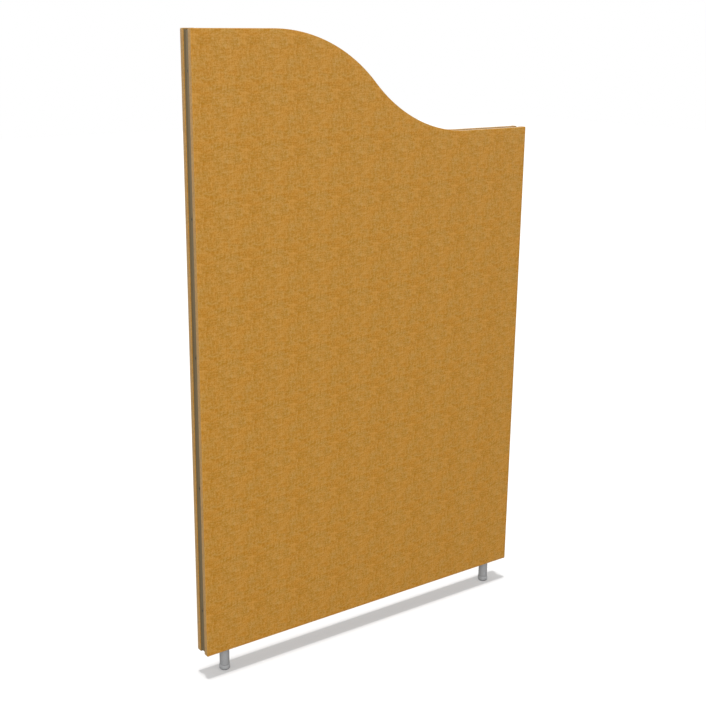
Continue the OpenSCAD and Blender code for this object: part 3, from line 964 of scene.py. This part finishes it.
# Painted light: the collar gets the post's coat in a paler tone, to make up for the shade in its
# flutes.
collar_material = make_powder_coat("pale silver coat with painted light", (0.42, 0.425, 0.43, 1),
                                   (0.54, 0.545, 0.55, 1))
coat_material = make_powder_coat("silver powder coat", (0.33, 0.335, 0.34, 1),
                                 (0.45, 0.455, 0.46, 1))

# %% [markdown]
# ### Timber, board and rubber
#
# Spruce shows its year rings as lines along the piece: pale early wood that darkens slowly and
# ends abruptly. The rings are cylinders round a pith that lies beside the board, so the line
# pattern is the distance from that pith, bent a little by slow noise. The pieces of the frame
# lie far apart, so the width is folded back and forth, which gives each one a pith close by. The
# group takes a place whose Z runs along the grain. For a level rail, X and Z are exchanged
# before they go in.

# %% Node group: timber grain
RINGS_PER_METRE = 330.0
FOLD_WIDTH, PITH_ACROSS, PITH_THROUGH = 70 * MM, 20 * MM, 35 * MM
SWAY, SWAYS_PER_METRE, GRAIN_PER_METRE = 20 * MM, (5, 5, 1.2), (2500, 2500, 40)


def make_grain():
    group, given, result = new_group("timber grain", [("Place", "Vector", None)],
                                     [("Ring", "Float", None), ("Fibre", "Float", None)])
    place = given.outputs["Place"]
    parts = add(group, "ShaderNodeSeparateXYZ", {0: place})
    folded_x = maths(group, "PINGPONG", parts.outputs["X"], FOLD_WIDTH)
    across = maths(group, "ADD", folded_x, PITH_ACROSS)
    through = maths(group, "ADD", parts.outputs["Y"], PITH_THROUGH)
    beside = add(group, "ShaderNodeCombineXYZ", {"X": across, "Y": through})
    from_pith = add(group, "ShaderNodeVectorMath", {0: beside.outputs[0]}, operation="LENGTH")
    sway = streaks_at(group, place, SWAYS_PER_METRE, 1.0)
    bent = maths(group, "MULTIPLY_ADD", sway, SWAY, from_pith.outputs["Value"])
    ring = maths(group, "FRACT", maths(group, "MULTIPLY", bent, RINGS_PER_METRE))
    group.links.new(maths(group, "POWER", ring, 3.0), result.inputs["Ring"])
    group.links.new(streaks_at(group, place, GRAIN_PER_METRE), result.inputs["Fibre"])
    return group


timber_grain = make_grain()
print("group:", timber_grain.name)

# %% Timber
SPRUCE_EARLY, SPRUCE_LATE = (0.70, 0.52, 0.30, 1), (0.47, 0.28, 0.12, 1)
SPRUCE_FIBRE, FIBRE_SHARE, SPRUCE_DEPTH = (0.58, 0.40, 0.20, 1), 0.35, 0.08 * MM


def make_timber(name, level_rail):
    material, tree, shader = new_material(name, Roughness=0.62)
    place = object_place(tree)
    if level_rail:
        parts = add(tree, "ShaderNodeSeparateXYZ", {0: place})
        place = add(tree, "ShaderNodeCombineXYZ",
                    {"X": parts.outputs["Z"], "Y": parts.outputs["Y"],
                     "Z": parts.outputs["X"]}).outputs[0]
    grain = placed(tree, timber_grain, {"Place": place})
    rings = mixed(tree, grain.outputs["Ring"], SPRUCE_EARLY, SPRUCE_LATE)
    fibre_share = maths(tree, "MULTIPLY", grain.outputs["Fibre"], FIBRE_SHARE)
    tree.links.new(mixed(tree, fibre_share, rings, SPRUCE_FIBRE), shader.inputs["Base Color"])
    bump(tree, shader, grain.outputs["Fibre"], SPRUCE_DEPTH)
    print("material:", name)
    return material


stile_material = make_timber("spruce, grain upright", False)
rail_material = make_timber("spruce, grain level", True)

# %% Beech, board and rubber
SPECKLED_SMUDGE = 40 * MM


def make_speckled(name, dark, light, per_metre, roughness, depth):
    """A plain stuff with two tones of fine grain: pressed fibres, beech or rubber."""
    material, tree, shader = new_material(name)
    place = object_place(tree)
    grain = streaks_at(tree, place, per_metre, 4.0)
    worn(tree, shader, place, SPECKLED_SMUDGE, roughness)
    tree.links.new(between(tree, grain, dark, light), shader.inputs["Base Color"])
    bump(tree, shader, grain, depth)
    print("material:", name)
    return material


dowel_material = make_speckled("beech", (0.50, 0.32, 0.18, 1), (0.64, 0.45, 0.27, 1),
                               (700, 700, 700), 0.6, 0.04 * MM)
board_material = make_speckled("pressed soft fibre board", (0.31, 0.22, 0.13, 1),
                               (0.47, 0.36, 0.23, 1), (600, 1200, 600), 0.9, 0.2 * MM)
rubber_material = make_speckled("black rubber", (0.016, 0.016, 0.017, 1), (0.04, 0.04, 0.041, 1),
                                (2500, 2500, 2500), 0.75, 0.03 * MM)

# %% Give the solids their materials
def dress(material, *nodes):
    """Gives the solids of some nodes a material."""
    for node in nodes:
        mesh = bpy.data.objects[node].data
        mesh.materials.clear()
        mesh.materials.append(material)
    print(material.name, "is on", len(nodes), "nodes")


dress(board_material, "front_board", "back_board")
dress(stile_material, "left_stile", "right_stile")
dress(rail_material, "bottom_rail", "cross_rail", "wave_rail")
dress(dowel_material, "frame_dowels")
dress(channel_material, "left_channel", "right_channel", "bottom_channel", "high_channel",
      "wave_channel", "low_channel")
dress(steel_material, "left_plug", "right_plug", "left_bush", "right_bush")
dress(brass_material, "left_insert", "right_insert")
dress(coat_material, "left_post", "right_post", "left_pad", "right_pad")
dress(rubber_material, "left_sole", "right_sole")

# %% [markdown]
# ## Turned and threaded pieces
#
# A turned form is a grid that closes round its axis. Its rows run from the lower end to the
# upper one, and each row gives a radius and a height, either as two numbers or, where the form
# isn't round, as a function of the angle. The two ends are closed by flat faces.
#
# A screw thread is the same grid with a radius that depends on the height and the angle
# together. The place along the thread is the height in pitches less the angle in turns, and its
# fraction runs once from groove to crest and back. Taking the angle away makes the crest climb
# with the angle, which is a right-hand thread. Near both ends the crest runs out.

# %% Helpers for turned and threaded forms
CREST_RISE, CREST_DROP, RUN_OUT_PITCHES = 1.25, 0.12, 1.5


def turned_form(rows, columns):
    """Points and faces of a form turned about Z, from rows of radius and height."""
    points = []
    for row in rows:
        for c in range(columns):
            angle = 2 * math.pi * c / columns
            radius, height = row(angle) if callable(row) else row
            points.append(Vector((radius * math.cos(angle), radius * math.sin(angle), height)))
    faces = grid_faces(len(rows), columns, closed=True)
    last = (len(rows) - 1) * columns
    faces.append(tuple(reversed(range(columns))))
    faces.append(tuple(range(last, last + columns)))
    return points, faces


def thread_rows(low, high, outer, deep, pitch, per_pitch):
    """Rows of a right-hand thread between two heights."""
    steps = round((high - low) / pitch * per_pitch)

    def row_at(height):
        def row(angle):
            place = (height - low) / pitch - angle / (2 * math.pi)
            there_and_back = 1 - abs(2 * (place % 1) - 1)
            crest = min(1.0, max(0.0, CREST_RISE * there_and_back - CREST_DROP))
            crest *= smooth_step(0.0, RUN_OUT_PITCHES * pitch, min(height - low, high - height))
            return outer - deep * (1 - crest), height
        return row

    return [row_at(low + (high - low) * i / steps) for i in range(steps + 1)]


# %% [markdown]
# ### Levelling spindles and studs
#
# The spindle is one turned piece: a rivet head inside the pad, a collar with finger flutes, and
# an M8 thread that reaches up into the post. Each flute is part of a small cylinder that cuts
# the collar's rim, so the radius of the rim is where a ray from the axis meets that cylinder.
# The heights come from the neighbours, which stand 0.2 mm off. The collar has a paler tone of
# the post's silver coat: painted light, which makes up for the shade in its flutes and lightens
# the low end of the foot. The rest is bare steel. The stud in the bottom rail has the same
# thread.

# %% The form of a spindle
M8_PITCH, M8_DEEP, M8_ROWS = 1.25 * MM, 0.77 * MM, 8
FLUTES, FLUTE_RADIUS, FLUTE_DEEP, FLUTE_COLUMNS = 18, 1.4 * MM, 0.5 * MM, 8
REST_GAP, EDGE_ROUND = 0.2 * MM, 0.5 * MM
EDGE_TURNS = (0.0, 0.4, 0.8, 1.2, math.pi / 2)
RIVET_RADIUS, RIVET_HIGH, RIVET_INSET, RIVET_DROP = 5.8 * MM, 0.8 * MM, 0.3 * MM, 0.2 * MM
SPINDLE_TIP = 0.4 * MM


def rim_row(rim, inset, height):
    """A row of the fluted collar, at a distance inside its rim."""
    def row(angle):
        off = (angle + math.pi / FLUTES) % (2 * math.pi / FLUTES) - math.pi / FLUTES
        centre = rim + FLUTE_RADIUS - FLUTE_DEEP
        reach = FLUTE_RADIUS ** 2 - (centre * math.sin(off)) ** 2
        cut = centre * math.cos(off) - math.sqrt(reach) if reach > 0 else rim
        return min(rim, cut) - inset, height
    return row


def half_width(node):
    """Half of a solid's width along X."""
    low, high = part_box(node)
    return (high.x - low.x) / 2


def make_spindle(side):
    """A spindle in the place of the plain one."""
    node = side + "_spindle"
    low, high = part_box(node)
    shaft, rim = half_width(side + "_stud"), (high.y - low.y) / 2
    collar_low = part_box(side + "_pad")[1].z + REST_GAP
    collar_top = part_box(side + "_post")[0].z - REST_GAP
    rivet_top = low.z + RIVET_HIGH
    rows = [(RIVET_RADIUS - RIVET_INSET, low.z), (RIVET_RADIUS, low.z + RIVET_DROP),
            (RIVET_RADIUS, rivet_top - RIVET_DROP), (RIVET_RADIUS - RIVET_INSET, rivet_top),
            (shaft, rivet_top), (shaft, collar_low)]
    edge = [(EDGE_ROUND * (1 - math.sin(turn)), EDGE_ROUND * (1 - math.cos(turn)))
            for turn in EDGE_TURNS]
    rows += [rim_row(rim, inset, collar_low + up) for inset, up in edge]
    rows += [rim_row(rim, inset, collar_top - down) for inset, down in reversed(edge)]
    rows.append((shaft - M8_DEEP, collar_top))
    rows += thread_rows(collar_top, high.z - SPINDLE_TIP, shaft, M8_DEEP, M8_PITCH, M8_ROWS)
    rows.append((shaft - M8_DEEP - SPINDLE_TIP, high.z))
    points, faces = turned_form(rows, FLUTE_COLUMNS * FLUTES)
    axis = middle_under(node)
    piece = new_piece(side + "_levelling_spindle", [p + axis for p in points], faces,
                      collar_material, side + "_screw", sharp=40)
    piece.data.materials.append(steel_material)
    for face in piece.data.polygons:
        if not collar_low <= face.center.z <= collar_top:
            face.material_index = 1
    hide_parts(node)


# %% Make the spindles and the studs
STUD_COLUMNS, STUD_TIP = 36, 0.5 * MM


def make_stud(side):
    """A threaded stud in the place of the plain one."""
    node = side + "_stud"
    low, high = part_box(node)
    radius = half_width(node)
    rows = [(radius - M8_DEEP - STUD_TIP, low.z)]
    rows += thread_rows(low.z + STUD_TIP, high.z - STUD_TIP, radius, M8_DEEP, M8_PITCH, M8_ROWS)
    rows.append((radius - M8_DEEP - STUD_TIP, high.z))
    points, faces = turned_form(rows, STUD_COLUMNS)
    axis = middle_under(node)
    piece = new_piece(side + "_threaded_stud", [p + axis for p in points], faces,
                      steel_material, "screen", sharp=40)
    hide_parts(node)


for side in ("left", "right"):
    make_spindle(side)
    make_stud(side)

# %% [markdown]
# ### Channel screws
#
# The plain solids already say where each screw is and which way it faces. The points of one
# screw spread most along its axis, which the eigenvectors of their covariance find, and the
# head is at the end where they stand further from the axis.
#
# A countersunk head is flat, with a cross-shaped recess for the driver. The flat is a polar grid
# whose height is lowered wherever a point lies inside one of the two crossing slots. The slots
# have steep sides, and their ends slope up to the flat.

# %% Find the screws
SCREWS_APART = 30 * MM


def screw_places(node):
    """The middle of each screw's head, the direction it faces, and the screw's length."""
    solid = bpy.data.objects[node]
    groups = []
    for vertex in solid.data.vertices:
        point = solid.matrix_world @ vertex.co
        near = [group for group in groups if (group[0] - point).length < SCREWS_APART]
        if near:
            near[0].append(point)
        else:
            groups.append([point])
    found = []
    for group in groups:
        spots = numpy.array([tuple(point) for point in group])
        middle = spots.mean(axis=0)
        axis = numpy.linalg.eigh(numpy.cov((spots - middle).T))[1][:, 2]
        along = (spots - middle) @ axis
        away = numpy.linalg.norm(spots - middle - along[:, None] * axis, axis=1)
        if away[along > 0].max() < away[along < 0].max():
            axis, along = -axis, -along
        head = Vector(middle + axis * along.max())
        found.append((head, Vector(axis), along.max() - along.min()))
    return found


places = screw_places("channel_screws")
print(len(places), "screws, each", round(places[0][2] / MM, 1), "mm long")

# %% The flat of a head, with its recess
HEAD_RADIUS, FLAT_RADIUS, TOP_RINGS = 3.0 * MM, 2.8 * MM, 16
RECESS_REACH, RECESS_HALF, RECESS_DEEP = 1.5 * MM, 0.32 * MM, 1.2 * MM
SIDE_SLOPE, END_SLOPE = 0.1 * MM, 0.9 * MM


def recess(x, y):
    """Depth of the cross recess under a point of the flat."""
    deepest = 0.0
    for along, across in ((abs(x), abs(y)), (abs(y), abs(x))):
        side_share = min(1.0, max(0.0, (RECESS_HALF - across) / SIDE_SLOPE))
        end_share = min(1.0, max(0.0, (RECESS_REACH - along) / END_SLOPE))
        deepest = max(deepest, RECESS_DEEP * side_share * end_share)
    return deepest


def top_row(radius):
    """A ring of the head's flat, lowered where the recess is."""
    return lambda angle: (radius, -recess(radius * math.cos(angle), radius * math.sin(angle)))


# %% Make the screws
HEAD_HIGH, SHANK_RADIUS, TIP_RADIUS = 1.8 * MM, 1.5 * MM, 0.05 * MM
HEAD_RIM = [(0.05 * MM, 0.15 * MM), (0.0, 0.08 * MM), (0.06 * MM, 0.0)]
WOOD_PITCH, WOOD_DEEP, WOOD_ROWS, NECK_LONG = 1.2 * MM, 0.45 * MM, 5, 0.2 * MM
POINT_LONG, POINT_MIDDLE = 2.5 * MM, 0.6
HEAD_COLUMNS, SHANK_COLUMNS, TURN_BETWEEN = 64, 16, 2.4


def screw_form(length):
    """Points and faces of one screw along Z, with the flat of its head at 0."""
    head_rows = [(SHANK_RADIUS, -HEAD_HIGH)]
    head_rows += [(HEAD_RADIUS - inset, -deep) for inset, deep in HEAD_RIM]
    head_rows += [top_row(FLAT_RADIUS * (1 - i / TOP_RINGS)) for i in range(TOP_RINGS)]
    points, faces = turned_form(head_rows, HEAD_COLUMNS)
    core = SHANK_RADIUS - WOOD_DEEP
    shank_rows = [(TIP_RADIUS, -length), (POINT_MIDDLE * core, POINT_MIDDLE * POINT_LONG - length)]
    shank_rows += thread_rows(POINT_LONG - length, NECK_LONG - HEAD_HIGH, SHANK_RADIUS, WOOD_DEEP,
                              WOOD_PITCH, WOOD_ROWS)
    shank_points, shank_faces = turned_form(shank_rows, SHANK_COLUMNS)
    faces += [tuple(i + len(points) for i in face) for face in shank_faces]
    return points + shank_points, faces


form_points, form_faces = screw_form(places[0][2])
points, faces = [], []
for number, (head, facing, length) in enumerate(places):
    turn = Matrix.Rotation(TURN_BETWEEN * number, 4, "Z")
    place = Matrix.Translation(head) @ facing.to_track_quat("Z", "Y").to_matrix().to_4x4() @ turn
    faces += [tuple(i + len(points) for i in face) for face in form_faces]
    points += [place @ p for p in form_points]
screws = new_piece("countersunk_screws", points, faces, screw_material, "screen", sharp=30)
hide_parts("channel_screws")
